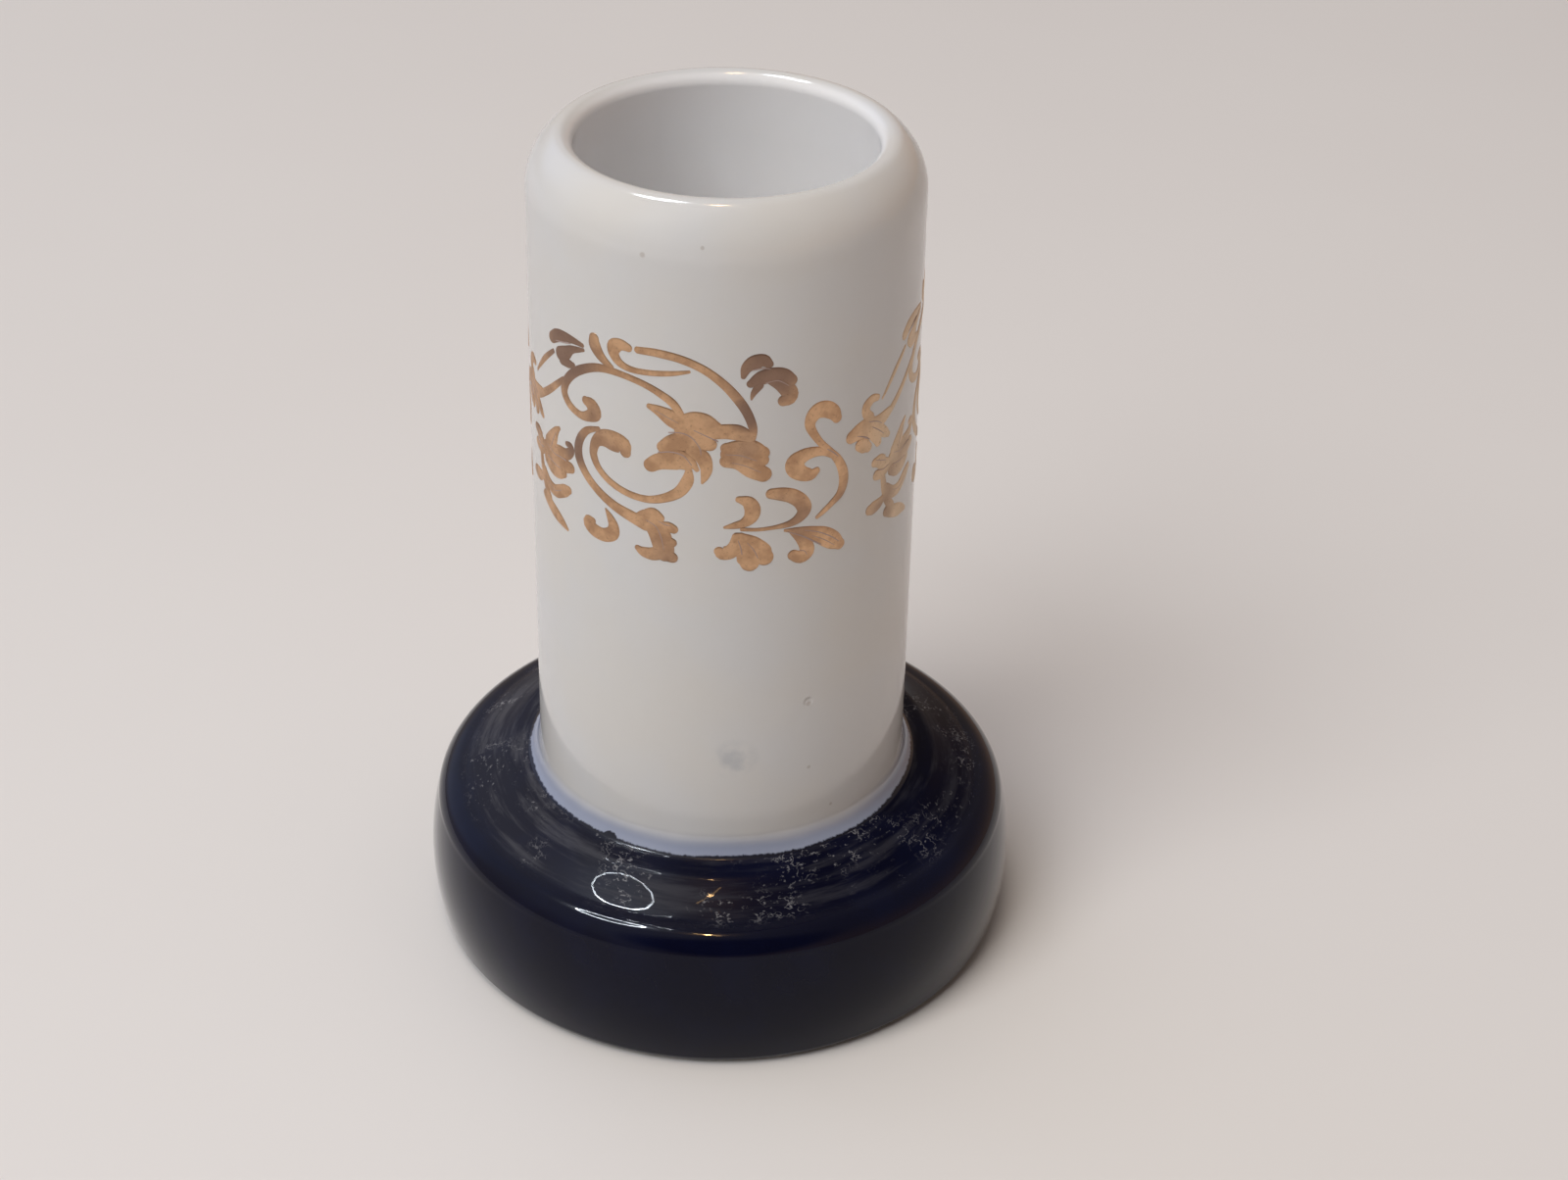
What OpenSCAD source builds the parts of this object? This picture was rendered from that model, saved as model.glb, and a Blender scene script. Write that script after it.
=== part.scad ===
// Small porcelain bell: a white waist tube with a rolled lip, luted on a heavy
// cobalt-glazed sound ring, with a clapper hung inside from a crown web.
// Millimetres, +Z up, origin at the centre of the ring's flat foot.

/* [Overall] */
// Height from the foot to the top of the lip
height = 70.7; // [69:0.1:80]
// Outside diameter of the cobalt ring at its widest
ring_d = 50; // [50:0.1:54]
// Height of the ring's rounded outer shoulder
ring_h = 12.7; // [12.4:0.1:13]

/* [White tube] */
// Outside diameter of the tube just above its cove
tube_low_d = 30.8; // [30.4:0.1:31.2]
// Outside diameter of the tube where the lip starts to roll in
tube_top_d = 30.3; // [30:0.1:31]
// Diameter of the straight bore
bore_d = 23.4; // [22:0.1:24]
// Radius of the lip's soft outer shoulder
lip_r = 5; // [4.6:0.1:5.4]
// Radius of the lip just outside its crest
lip_crest_r = 1.2; // [1:0.05:1.4]
// Radius of the lip just inside its crest
lip_edge_r = 1; // [0.8:0.05:1.1]
// Height at which the white tube meets the cobalt ring
joint_z = 14.8; // [14.6:0.1:15.2]
// Radius of the cove that eases the tube out on to the ring
cove_r = 1.9; // [1.7:0.1:2]

/* [Crown web] */
// Height of the underside of the web that carries the clapper
web_z = 43; // [42:0.5:46]
// Thickness of the web
web_t = 3.5; // [3:0.1:4]
// Radius of the fillets where the web meets the bore
web_fillet = 1.5; // [1:0.1:2]

/* [Sound ring] */
// Inside diameter of the open mouth
mouth_d = 41; // [40:0.1:41.5]
// Radius of the inside curve from the mouth up to the bore
flare_r = 8; // [7.8:0.1:8.2]
// Radius of the collar that centres the tube on the ring
collar_r = 13.55; // [13.2:0.05:13.6]
// Length of that collar above the joint
collar_h = 2.8; // [2:0.1:4]

/* [Hanger] */
// Diameter of the swivel pin's shaft
pin_d = 3; // [2.8:0.1:3.2]
// Radial clearance of turning pins in their holes
pin_gap = 0.05; // [0.03:0.01:0.08]
// Diameter of the pin's head
head_d = 7; // [6:0.1:8]
// Thickness of the felt seat washer
felt_t = 1.2; // [0.8:0.1:1.6]
// Thickness of the brass washer under the head
washer_t = 0.6; // [0.4:0.1:1]
// Distance from the web's underside down to the eye of the pin
eye_drop = 4.2; // [4:0.1:5]

/* [Clapper] */
// Diameter of the clapper wire
wire_d = 1.4; // [1.2:0.1:1.6]
// Radius of the stirrup bent at the top of the wire
stirrup_r = 3.4; // [3.2:0.1:3.6]
// Diameter of the turned clapper ball
ball_d = 10; // [9:0.1:10.2]
// Gap between the ball and the surface that the bell stands on
ball_lift = 0.8; // [0.6:0.1:1.2]

/* [Hidden] */
$fn = 96;

// Tube
bore_r = bore_d / 2;
wall_low_r = tube_low_d / 2;
wall_top_r = tube_top_d / 2;
lip_turn = 52;                       // crest and shoulder meet at this turn of their arcs
lip_z = height - lip_crest_r + (lip_crest_r - lip_r) * sin(lip_turn);
lip_mid_r = wall_top_r - lip_r + (lip_r - lip_crest_r) * cos(lip_turn);  // crest of the lip
lip_in_z = 5.4;                      // depth over which the lip eases back to the bore
web_top = web_z + web_t;
slip_gap = 0.05;                     // layer of slip in the luted joint
cove_joint = 243.5;                  // the white ends and the cobalt starts at this turn of the cove
cove_end = 260;                      // the cove ends here, sloping gently down and out
cove_c = [wall_low_r + cove_r, joint_z - cove_r * sin(cove_joint)];

// Ring
ring_r = ring_d / 2;
mouth_r = mouth_d / 2;
belly_z = 5.5;                       // height of the ring's widest line
belly_r = 20.3;                      // radius of its barrelled side
side_high = 15.6;                    // the side runs between these two turns of its arc
side_low = -13.1;
foot_round = 1.2;                    // outer edge of the foot
mouth_round = 0.8;                   // inner edge of the foot
bead_r = 2.3;                        // outer roll of the shoulder
bead_turn = 82;                      // the roll starts from this slope
bead_c = [ring_r - 2.97, ring_h - bead_r];
shelf_run = 0.85;                    // nearly level strip outside the cove
shelf_r = 3.5;                       // soft edge where the top turns down
hollow_r = 3.5;                      // shallow hollow before the roll
hollow_run = 0.45;                   // nearly level strip between hollow and roll
shelf_c = on_arc(cove_c, cove_r, cove_end) + shelf_run * [sin(-cove_end), cos(cove_end)]
        - shelf_r * [cos(cove_end - 180), sin(cove_end - 180)];
hollow_c = on_arc(bead_c, bead_r, bead_turn) + hollow_run * [-sin(bead_turn), cos(bead_turn)]
         + hollow_r * [cos(bead_turn), sin(bead_turn)];
top_fall = 28;                       // steepest slope between them
foot_r = ring_r - 1.71;              // centre line of the foot rounding
flare_c = [mouth_r - flare_r, 5.2];

// Hanger and clapper
pin_r = pin_d / 2;
head_r = head_d / 2;
head_t = 1.3;
felt_r = 5.5;
washer_r = 4.6;
lock_r = 3;
lock_t = 1.6;
lock_play = 0.4;                     // the pin can lift this far before the collar stops it
pivot_z = web_z - eye_drop;
wire_r = wire_d / 2;
eye_hole_r = wire_r + pin_gap;
eye_r = 1.75;
eye_t = 2;
ball_r = ball_d / 2;
ball_z = ball_lift + ball_r - 0.2;   // the ball has small flats at both poles
flat_cut = 0.2;
stop_r = 1.4;
stop_t = 1;
sink_r = 1.7;                        // recess under the ball for the end stop
sink_depth = 1.6;
head_z = web_top + felt_t + washer_t;

// The point at angle t on an arc of centre c and radius r, and points along it from a to b
function on_arc(c, r, t) = [c[0] + r * cos(t), c[1] + r * sin(t)];
function arc(c, r, a, b, n = 10) = [for (i = [0:n]) on_arc(c, r, a + (b - a) * i / n)];

// Outline of the white tube with its web, from the foot up the outside and down the bore
function tube_outline() = concat(
    [[collar_r + slip_gap, joint_z]],
    arc(cove_c, cove_r, cove_joint, 180),
    arc([wall_top_r - lip_r, lip_z], lip_r, 0, lip_turn, 12),
    arc([lip_mid_r, height - lip_crest_r], lip_crest_r, lip_turn + 8, 90, 5),
    arc([lip_mid_r, height - lip_edge_r], lip_edge_r, 98, 188, 10),
    [[bore_r, height - lip_in_z]],
    arc([bore_r - web_fillet, web_top + web_fillet], web_fillet, 360, 270, 6),
    [[pin_r + pin_gap, web_top], [pin_r + pin_gap, web_z]],
    arc([bore_r - web_fillet, web_z - web_fillet], web_fillet, 90, 0, 6),
    [[bore_r, joint_z + collar_h + slip_gap], [collar_r + slip_gap, joint_z + collar_h + slip_gap]]
);

// Outline of the cobalt ring, from the collar out over the shoulder and in under the foot
function ring_outline() = concat(
    [[bore_r, joint_z + collar_h], [collar_r, joint_z + collar_h], [collar_r, joint_z]],
    arc(cove_c, cove_r, cove_joint, cove_end, 4),
    arc(shelf_c, shelf_r, cove_end - 180, 90 - top_fall, 6),
    arc(hollow_c, hollow_r, 270 - top_fall, 180 + bead_turn, 6),
    arc(bead_c, bead_r, bead_turn, side_high, 10),
    arc([ring_r - belly_r, belly_z], belly_r, side_high, side_low, 12),
    arc([foot_r, foot_round], foot_round, side_low, -90, 6),
    arc([mouth_r + mouth_round, mouth_round], mouth_round, 270, 180, 6),
    arc(flare_c, flare_r, 0, 90, 16),
    [[bore_r, flare_c[1] + flare_r + 0.4]]
);

module white_tube() {
    color([0.93, 0.93, 0.91])
    rotate_extrude() polygon(tube_outline());
}

module cobalt_ring() {
    color([0.05, 0.06, 0.22])
    rotate_extrude() polygon(ring_outline());
}

// Soft seat on the web that takes the brass washer and stops it rattling
module felt_washer() {
    color([0.45, 0.12, 0.12])
    translate([0, 0, web_top]) difference() {
        cylinder(h = felt_t, r = felt_r);
        translate([0, 0, -1]) cylinder(h = felt_t + 2, r = pin_r + 0.3);
    }
}

module brass_washer() {
    color([0.78, 0.62, 0.3])
    translate([0, 0, web_top + felt_t]) difference() {
        cylinder(h = washer_t, r = washer_r);
        translate([0, 0, -1]) cylinder(h = washer_t + 2, r = pin_r + pin_gap);
    }
}

// Headed pin that turns in the crown hole, with a drilled eye for the clapper
module hanger_pin() {
    color([0.78, 0.62, 0.3]) difference() {
        union() {
            translate([0, 0, head_z]) rotate_extrude() polygon(concat(
                [[0, 0], [head_r, 0]],
                arc([head_r - 0.5, head_t - 0.5], 0.5, 0, 90, 5),
                [[0, head_t]]
            ));
            translate([0, 0, pivot_z + wire_r + 0.4])
                cylinder(h = head_z - pivot_z - wire_r, r = pin_r);
            translate([-eye_t / 2, 0, pivot_z]) rotate([0, 90, 0]) cylinder(h = eye_t, r = eye_r);
        }
        translate([-eye_t, 0, pivot_z]) rotate([0, 90, 0]) cylinder(h = 2 * eye_t, r = eye_hole_r);
        // screwdriver slot across the head
        translate([-head_r - 1, -0.4, head_z + head_t - 0.6]) cube([head_d + 2, 0.8, 2]);
    }
}

// Crimped collar that keeps the pin from lifting out of the web
module lock_collar() {
    color([0.78, 0.62, 0.3])
    translate([0, 0, web_z - lock_play - lock_t]) difference() {
        rotate_extrude() polygon(concat(
            [[0, 0]],
            arc([lock_r - 0.3, 0.3], 0.3, 270, 360, 4),
            arc([lock_r - 0.3, lock_t - 0.3], 0.3, 0, 90, 4),
            [[0, lock_t]]
        ));
        translate([0, 0, -1]) cylinder(h = lock_t + 2, r = pin_r);
    }
}

// Wire bent to a closed stirrup whose straight bar turns in the pin's eye
module clapper_wire() {
    wire_end = ball_z - ball_r + flat_cut + 0.3;
    color([0.72, 0.58, 0.32]) {
        translate([-stirrup_r, 0, pivot_z]) rotate([0, 90, 0])
            cylinder(h = 2 * stirrup_r, r = wire_r, $fn = 48);
        for (side = [-1, 1]) translate([side * stirrup_r, 0, pivot_z]) sphere(wire_r, $fn = 48);
        translate([0, 0, pivot_z]) rotate([90, 0, 0]) rotate([0, 0, 180])
            rotate_extrude(angle = 180) translate([stirrup_r, 0]) circle(wire_r, $fn = 48);
        translate([0, 0, wire_end])
            cylinder(h = pivot_z - stirrup_r - wire_end, r = wire_r, $fn = 48);
    }
}

// Turned wooden ball with two scored lines, drilled for the wire
module clapper_ball() {
    color([0.62, 0.42, 0.22])
    translate([0, 0, ball_z]) difference() {
        intersection() {
            sphere(ball_r);
            translate([0, 0, -ball_r + flat_cut]) cylinder(h = 2 * (ball_r - flat_cut), r = ball_r + 1);
        }
        translate([0, 0, -ball_r - 1]) cylinder(h = ball_d + 2, r = wire_r + pin_gap);
        translate([0, 0, -ball_r - 1]) cylinder(h = flat_cut + sink_depth + 1, r = sink_r);
        for (side = [-1, 1]) translate([0, 0, side * 0.9])
            rotate_extrude() translate([ball_r - 0.02, 0]) circle(0.25, $fn = 24);
    }
}

// Brass bead riveted on the wire's end under the ball
module end_stop() {
    color([0.78, 0.62, 0.3])
    translate([0, 0, ball_z - ball_r + flat_cut + sink_depth - stop_t]) difference() {
        rotate_extrude() polygon(concat(
            [[0, 0]],
            arc([stop_r - 0.4, 0.4], 0.4, 270, 360, 4),
            [[stop_r, stop_t], [0, stop_t]]
        ));
        translate([0, 0, -1]) cylinder(h = stop_t + 2, r = wire_r, $fn = 48);
    }
}

white_tube();
cobalt_ring();
felt_washer();
brass_washer();
hanger_pin();
lock_collar();
clapper_wire();
clapper_ball();
end_stop();
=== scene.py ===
# %% [markdown]
# # A small porcelain bell
# The bell is a white porcelain tube, luted on a thick cobalt ring, with gilt
# scrollwork round its upper half. A pin through a web inside the tube carries
# the clapper. The mechanical model comes first, because every piece made here
# has to sit on it and move with it.

# %% Load the frame
import math
import random

import bmesh
import bpy
from mathutils import Euler, Matrix, Vector


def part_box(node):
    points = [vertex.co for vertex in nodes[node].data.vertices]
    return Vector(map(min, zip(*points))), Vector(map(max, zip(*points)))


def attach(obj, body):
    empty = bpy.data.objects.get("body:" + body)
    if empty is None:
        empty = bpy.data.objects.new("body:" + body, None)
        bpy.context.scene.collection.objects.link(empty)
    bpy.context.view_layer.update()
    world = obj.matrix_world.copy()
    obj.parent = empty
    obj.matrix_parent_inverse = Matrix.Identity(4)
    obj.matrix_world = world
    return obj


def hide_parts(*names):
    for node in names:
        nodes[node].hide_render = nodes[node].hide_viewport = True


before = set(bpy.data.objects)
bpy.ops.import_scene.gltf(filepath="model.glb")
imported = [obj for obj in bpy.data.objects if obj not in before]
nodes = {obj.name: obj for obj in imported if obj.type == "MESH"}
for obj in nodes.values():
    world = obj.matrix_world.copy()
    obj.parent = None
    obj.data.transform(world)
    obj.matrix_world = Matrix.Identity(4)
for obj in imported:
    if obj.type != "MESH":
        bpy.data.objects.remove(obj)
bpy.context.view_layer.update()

# %% [markdown]
# ## The camera
# The bell is seen from close by and from above, so the tube narrows visibly
# towards its foot. A camera's place and aim are easiest to keep as a distance
# in front, a height and three small turns: pan, tilt and roll. With a sensor
# 36 mm wide, the focal length alone sets how large the bell appears.

# %% Camera
camera_data = bpy.data.cameras.new("camera")
camera_data.sensor_width = 36
camera_data.lens = 60.75
camera = bpy.data.objects.new("camera", camera_data)
bpy.context.scene.collection.objects.link(camera)
camera.location = (0, -0.18454, 0.14765)
PAN, TILT, ROLL = 0.0274, 0.5667, 0.0245
aim = Euler((math.pi / 2 - TILT, 0, -PAN)).to_matrix()
camera.rotation_euler = (aim @ Matrix.Rotation(ROLL, 3, "Z")).to_euler()
bpy.context.scene.camera = camera
print("camera", round(camera.location.length * 1000), "mm from the foot")

# %% [markdown]
# ## Sizes taken from the frame
# The mechanical model already fixes the tube and the ring. Reading its boxes
# keeps the two models together: if a size changes there, it changes here too.

# %% Driving sizes, in millimetres
MM = 0.001
tube_low, tube_high = [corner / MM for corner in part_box("white_tube")]
ring_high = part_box("cobalt_ring")[1] / MM
ball_low, ball_high = [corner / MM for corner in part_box("clapper_ball")]
felt_low, felt_high = [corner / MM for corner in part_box("felt_washer")]
HEIGHT = tube_high.z
JOINT_Z = tube_low.z
RING_R = ring_high.x
RING_H = 12.7
BORE_R = 11.7
WALL_LOW_R, WALL_TOP_R = 15.4, 15.15
LIP_R, LIP_CREST_R, LIP_EDGE_R, LIP_TURN = 5.0, 1.2, 1.0, 52
print(f"height {HEIGHT:.1f}, ring {2 * RING_R:.1f}, joint at {JOINT_Z:.1f}")

# %% [markdown]
# ## Turned shapes
# Porcelain like this is cast in a turned mould, so every outline is a run of
# arcs. An arc is a formula, not a list of points: fine steps cost nothing and
# give the glaze clean reflections. `turn` sweeps an outline about the axis and
# stores, on each point, how far along the outline it lies. Finishes can then
# say where one glaze ends and the next begins.

# %% Arcs and turning
def arc(centre, radius, start, end, steps=24):
    angles = [math.radians(start + (end - start) * i / steps) for i in range(steps + 1)]
    return [(centre[0] + radius * math.cos(a), centre[1] + radius * math.sin(a)) for a in angles]


def make_object(name, points, faces, sharp=40):
    mesh = bpy.data.meshes.new(name)
    mesh.from_pydata(points, [], faces)
    mesh.validate()
    shell = bmesh.new()
    shell.from_mesh(mesh)
    bmesh.ops.recalc_face_normals(shell, faces=shell.faces)
    shell.to_mesh(mesh)
    shell.free()
    mesh.shade_smooth()
    mesh.set_sharp_from_angle(angle=math.radians(sharp))
    made = bpy.data.objects.new(name, mesh)
    bpy.context.scene.collection.objects.link(made)
    return made


def turn(name, outline, sides=256, drift=None, sharp=40):
    """Sweeps a closed outline of (radius, height) in mm.

    drift(angle, r, z) moves points by hand-made error.
    """
    points, along, faces = [], [], []
    travelled = 0.0
    for i, (r, z) in enumerate(outline):
        if i:
            travelled += math.dist(outline[i], outline[i - 1])
        for s in range(sides):
            angle = 2 * math.pi * s / sides
            dr, dz = drift(angle, r, z) if drift else (0, 0)
            points.append(((r + dr) * math.cos(angle) * MM, (r + dr) * math.sin(angle) * MM, (z + dz) * MM))
            along.append(travelled)
    rows = len(outline)
    for i in range(rows):
        j = (i + 1) % rows
        for s in range(sides):
            t = (s + 1) % sides
            faces.append((i * sides + s, i * sides + t, j * sides + t, j * sides + s))
    made = make_object(name, points, faces, sharp)
    made.data.attributes.new("along", "FLOAT", "POINT").data.foreach_set("value", along)
    print(f"{name}: {len(faces)} faces, outline {travelled:.1f} mm long")
    return made


# %% [markdown]
# ## A short way to write finishes
# A finish is arithmetic on textures: a mask times a colour, one minus a mask.
# The node editor draws that as boxes and threads. Here one small class wraps a
# socket, so the arithmetic reads as an expression and adds its own Math nodes.
# Any other node comes from `node`, which sets its options and then its inputs.

# %% Sockets that do arithmetic
class Value:
    def __init__(self, finish, socket):
        self.finish = finish
        self.socket = socket

    def math(self, operation, other=None, swapped=False):
        inputs = {0: self} if other is None else {0: self, 1: other}
        if swapped:
            inputs = {0: other, 1: self}
        return self.finish.node("ShaderNodeMath", {"operation": operation}, inputs)

    def __add__(self, other):
        return self.math("ADD", other)

    def __radd__(self, other):
        return self.math("ADD", other)

    def __sub__(self, other):
        return self.math("SUBTRACT", other)

    def __rsub__(self, other):
        return self.math("SUBTRACT", other, swapped=True)

    def __mul__(self, other):
        return self.math("MULTIPLY", other)

    def __rmul__(self, other):
        return self.math("MULTIPLY", other)

    def __truediv__(self, other):
        return self.math("DIVIDE", other)

    def __pow__(self, other):
        return self.math("POWER", other)


class Finish:
    """A material on the Principled shader; keyword arguments set its constant inputs."""

    def __init__(self, name, **constants):
        self.material = bpy.data.materials.new(name)
        self.material.use_nodes = True
        self.tree = self.material.node_tree
        self.shader = self.tree.nodes["Principled BSDF"]
        for key, value in constants.items():
            self.shader.inputs[key.replace("_", " ")].default_value = value

    def node(self, kind, settings=None, inputs=None, output=0):
        made = self.tree.nodes.new(kind)
        for key, value in (settings or {}).items():
            if key == "stops":
                self.set_stops(made.color_ramp, value)
            else:
                setattr(made, key, value)
        for key, value in (inputs or {}).items():
            self.feed(made.inputs[key], value)
        return Value(self, made.outputs[output])

    def set_stops(self, ramp, stops):
        while len(ramp.elements) < len(stops):
            ramp.elements.new(0.5)
        for element, (place, grey) in zip(ramp.elements, stops):
            element.position = place
            element.color = (grey, grey, grey, 1)

    def feed(self, socket, value):
        if isinstance(value, Value):
            self.tree.links.new(value.socket, socket)
        else:
            socket.default_value = value

    def set(self, **values):
        for key, value in values.items():
            self.feed(self.shader.inputs[key.replace("_", " ")], value)

    # Frequently used textures and masks, all in millimetres of the object itself
    def place(self):
        """Object position in millimetres, as a vector."""
        spot = self.node("ShaderNodeTexCoord", output="Object")
        return self.node("ShaderNodeVectorMath", {"operation": "SCALE"}, {0: spot, "Scale": 1 / MM})

    def parts(self, vector):
        split = self.node("ShaderNodeSeparateXYZ", None, {0: vector})
        outputs = split.socket.node.outputs
        return [Value(self, outputs[i]) for i in range(3)]

    def vector(self, x, y, z):
        return self.node("ShaderNodeCombineXYZ", None, {0: x, 1: y, 2: z})

    def noise(self, vector, size, detail=2.0, roughness=0.5):
        """Soft noise between 0 and 1 with lumps about `size` millimetres across."""
        return self.node("ShaderNodeTexNoise", None, {
            "Vector": vector, "Scale": 1 / size, "Detail": detail, "Roughness": roughness})

    def step(self, value, low, high):
        """0 below low, 1 above high, smooth between; low may be the larger one."""
        return self.node("ShaderNodeMapRange", {"interpolation_type": "SMOOTHSTEP"}, {
            "Value": value, "From Min": low, "From Max": high, "To Min": 0.0, "To Max": 1.0})

    def mix(self, factor, first, second):
        """A colour between two colours; plain tuples and linked colours both work."""
        made = self.tree.nodes.new("ShaderNodeMix")
        made.data_type = "RGBA"
        for index, value in ((0, factor), (6, first), (7, second)):
            plain = isinstance(value, tuple) and len(value) == 3
            self.feed(made.inputs[index], (*value, 1.0) if plain else value)
        return Value(self, made.outputs[2])

    def attribute(self, name):
        return self.node("ShaderNodeAttribute", {"attribute_name": name}, output="Fac")

    def bump(self, height, distance, strength=1.0):
        """Bends the surface by a height of 0 to 1 that stands for `distance` millimetres."""
        bent = self.node("ShaderNodeBump", None, {
            "Height": height, "Distance": distance * MM, "Strength": strength})
        self.feed(self.shader.inputs["Normal"], bent)
        return bent


def wear(piece, finish):
    piece.data.materials.clear()
    piece.data.materials.append(finish.material)


# %% [markdown]
# ## White porcelain
# Under a clear glaze the body is not pure white: it drifts between warm and
# cool, carries a few iron specks, and the cobalt bleeds a pale blue halo where
# the ring's glaze ran into the white. The halo follows height, with noise that
# turns slowly round the tube so that the edge wanders as a melted edge does.

# %% Porcelain finish
WHITE = (0.62, 0.625, 0.63)
WARM_WHITE = (0.63, 0.62, 0.60)
PALE_BLUE = (0.18, 0.215, 0.32)
# painted light: a brighter white for inside the bore
BORE_PAINTED_LIGHT = (0.86, 0.865, 0.88)
COBALT = (0.0022, 0.0026, 0.011)
SPECK = (0.28, 0.22, 0.17)
SMUDGE = (0.30, 0.34, 0.40)


def white_glaze_colour(finish, place):
    """The colour of the white glaze with its drift of tone and its iron specks."""
    tone = finish.step(finish.noise(place, 14, 3), 0.35, 0.65)
    colour = finish.mix(tone, WHITE, WARM_WHITE)
    dots = finish.node("ShaderNodeTexVoronoi", {"feature": "F1"}, {"Vector": place, "Scale": 1 / 5.5})
    chance = finish.parts(finish.node(
        "ShaderNodeTexVoronoi", {"feature": "F1"}, {"Vector": place, "Scale": 1 / 5.5}, output="Color"))[0]
    speck = finish.step(dots, 0.02, 0.008) * finish.step(chance, 0.7, 0.75)
    return finish.mix(speck * 0.8, colour, SPECK)


porcelain = Finish("white_porcelain", Roughness=0.1, IOR=1.52)
place = porcelain.place()
x, y, height = porcelain.parts(place)
radius = (x * x + y * y).math("SQRT")
angle = y.math("ARCTAN2", x)
round_tube = porcelain.vector(angle * 16.0, height * 0.6, 0.0)
wander = porcelain.noise(round_tube, 6, 2) - 0.5
grain = porcelain.noise(round_tube, 0.5, 4, 0.75) - 0.5
halo = porcelain.step(height + wander * 0.5, JOINT_Z + 2.0, JOINT_Z + 0.5)


def mark(s, z, size):
    """A soft round mark s mm round from the front and z mm high."""
    across, up = (angle + math.pi / 2) * WALL_TOP_R - s, height - z
    return porcelain.step((across * across + up * up).math("SQRT"), size, size * 0.4)


notch = mark(-8.9, JOINT_Z + 0.1, 0.7)
edge = porcelain.step(height + wander * 0.35 + grain * 0.3 - notch * 0.2, JOINT_Z + 0.2, JOINT_Z + 0.1)
colour = white_glaze_colour(porcelain, place)
# Painted light: the bore is painted brighter, standing in for the light that bounces round inside the
# glazed tube.
bore = porcelain.step(radius, 12.2, 11.6)
colour = porcelain.mix(bore * 0.8, colour, BORE_PAINTED_LIGHT)
colour = porcelain.mix(halo * 0.85, colour, PALE_BLUE)
cloudy = porcelain.step(porcelain.noise(place, 1.6, 3), 0.35, 0.7)
colour = porcelain.mix(mark(1.1, 24.0, 2.2) * cloudy * 0.4, colour, SMUDGE)
IRON_SPECKS = (
    (-6.1, 67.0, 0.28), (-1.7, 68.0, 0.2), (9.4, 17.6, 0.2), (7.2, 22.1, 0.22), (7.05, 28.3, 0.3),
)
for s, z, size in IRON_SPECKS:
    colour = porcelain.mix(mark(s, z, size) * 0.35, colour, SPECK)
pit = mark(7.0, 28.5, 0.5)
colour = porcelain.mix(edge, colour, COBALT)
porcelain.set(Base_Color=colour)
porcelain.set(Roughness=0.07 + porcelain.noise(place, 9, 3) * 0.07)
porcelain.bump(porcelain.noise(place, 4.5, 2) - pit * 6, 0.02, 0.6)
print("porcelain:", len(porcelain.tree.nodes), "nodes")

# %% [markdown]
# ## The white tube
# The tube is turned from one closed outline: up the outside from the cove, over
# the rolled lip, down the bore to the web, and out again below it. A cast piece
# is never quite round, so the radius drifts by a few hundredths of a millimetre,
# enough for highlights to waver without changing any size.

# %% Tube
WEB_T = 3.5
web_top, web_low = felt_low.z, felt_low.z - WEB_T
PIN_HOLE_R = 1.55
COVE_R, COVE_JOINT, COVE_END = 1.9, 243.5, 260
cove_c = (WALL_LOW_R + COVE_R, JOINT_Z - COVE_R * math.sin(math.radians(COVE_JOINT)))
lip_step = LIP_R - LIP_CREST_R
lip_z = HEIGHT - LIP_CREST_R - lip_step * math.sin(math.radians(LIP_TURN))
lip_mid_r = WALL_TOP_R - LIP_R + lip_step * math.cos(math.radians(LIP_TURN))
collar_top = ring_high.z
COLLAR_R = 13.55
WEB_FILLET, LIP_IN_Z = 1.5, 5.4


def straight(start, end, steps):
    return [(start[0] + (end[0] - start[0]) * i / steps, start[1] + (end[1] - start[1]) * i / steps)
            for i in range(1, steps)]


def out_of_round(angle, r, z):
    wave = math.sin(2 * angle + 0.7) * 0.035 + math.sin(3 * angle + z * 0.05) * 0.02
    if r < 5 or z > HEIGHT - 0.02:
        return 0, 0
    return wave * min(1, max(0, (z - JOINT_Z) / 4)), 0


tube_outline = (
    arc(cove_c, COVE_R, COVE_JOINT, 180, 20)
    + straight((WALL_LOW_R, cove_c[1]), (WALL_TOP_R, lip_z), 30)
    + arc((WALL_TOP_R - LIP_R, lip_z), LIP_R, 0, LIP_TURN, 24)
    + arc((lip_mid_r, HEIGHT - LIP_CREST_R), LIP_CREST_R, LIP_TURN + 4, 90, 12)
    + arc((lip_mid_r, HEIGHT - LIP_EDGE_R), LIP_EDGE_R, 98, 188, 16)
    + [(BORE_R, HEIGHT - LIP_IN_Z)]
    + straight((BORE_R, HEIGHT - LIP_IN_Z), (BORE_R, web_top + WEB_FILLET), 10)
    + arc((BORE_R - WEB_FILLET, web_top + WEB_FILLET), WEB_FILLET, 360, 270, 8)
    + [(PIN_HOLE_R, web_top), (PIN_HOLE_R, web_low)]
    + arc((BORE_R - WEB_FILLET, web_low - WEB_FILLET), WEB_FILLET, 90, 0, 8)
    + straight((BORE_R, web_low - WEB_FILLET), (BORE_R, collar_top + 0.05), 12)
    + [(BORE_R, collar_top + 0.05), (COLLAR_R + 0.05, collar_top + 0.05), (COLLAR_R + 0.05, JOINT_Z)]
)
tube = turn("glazed_tube", tube_outline, drift=out_of_round)
wear(tube, porcelain)
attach(tube, "shell")
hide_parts("white_tube")

# %% [markdown]
# ## Cobalt glaze
# Fired thick, cobalt goes almost black, and only its reflections and its thin
# places show blue. Dust and fine scratches lie along the ring, because a cloth
# wipes round it. Turning the position into angle and radius lets noise stretch
# into long arcs. Inside the mouth the glaze is white, and the foot that stands
# on the kiln shelf is left bare; the outline's own length says which is which.

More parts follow.
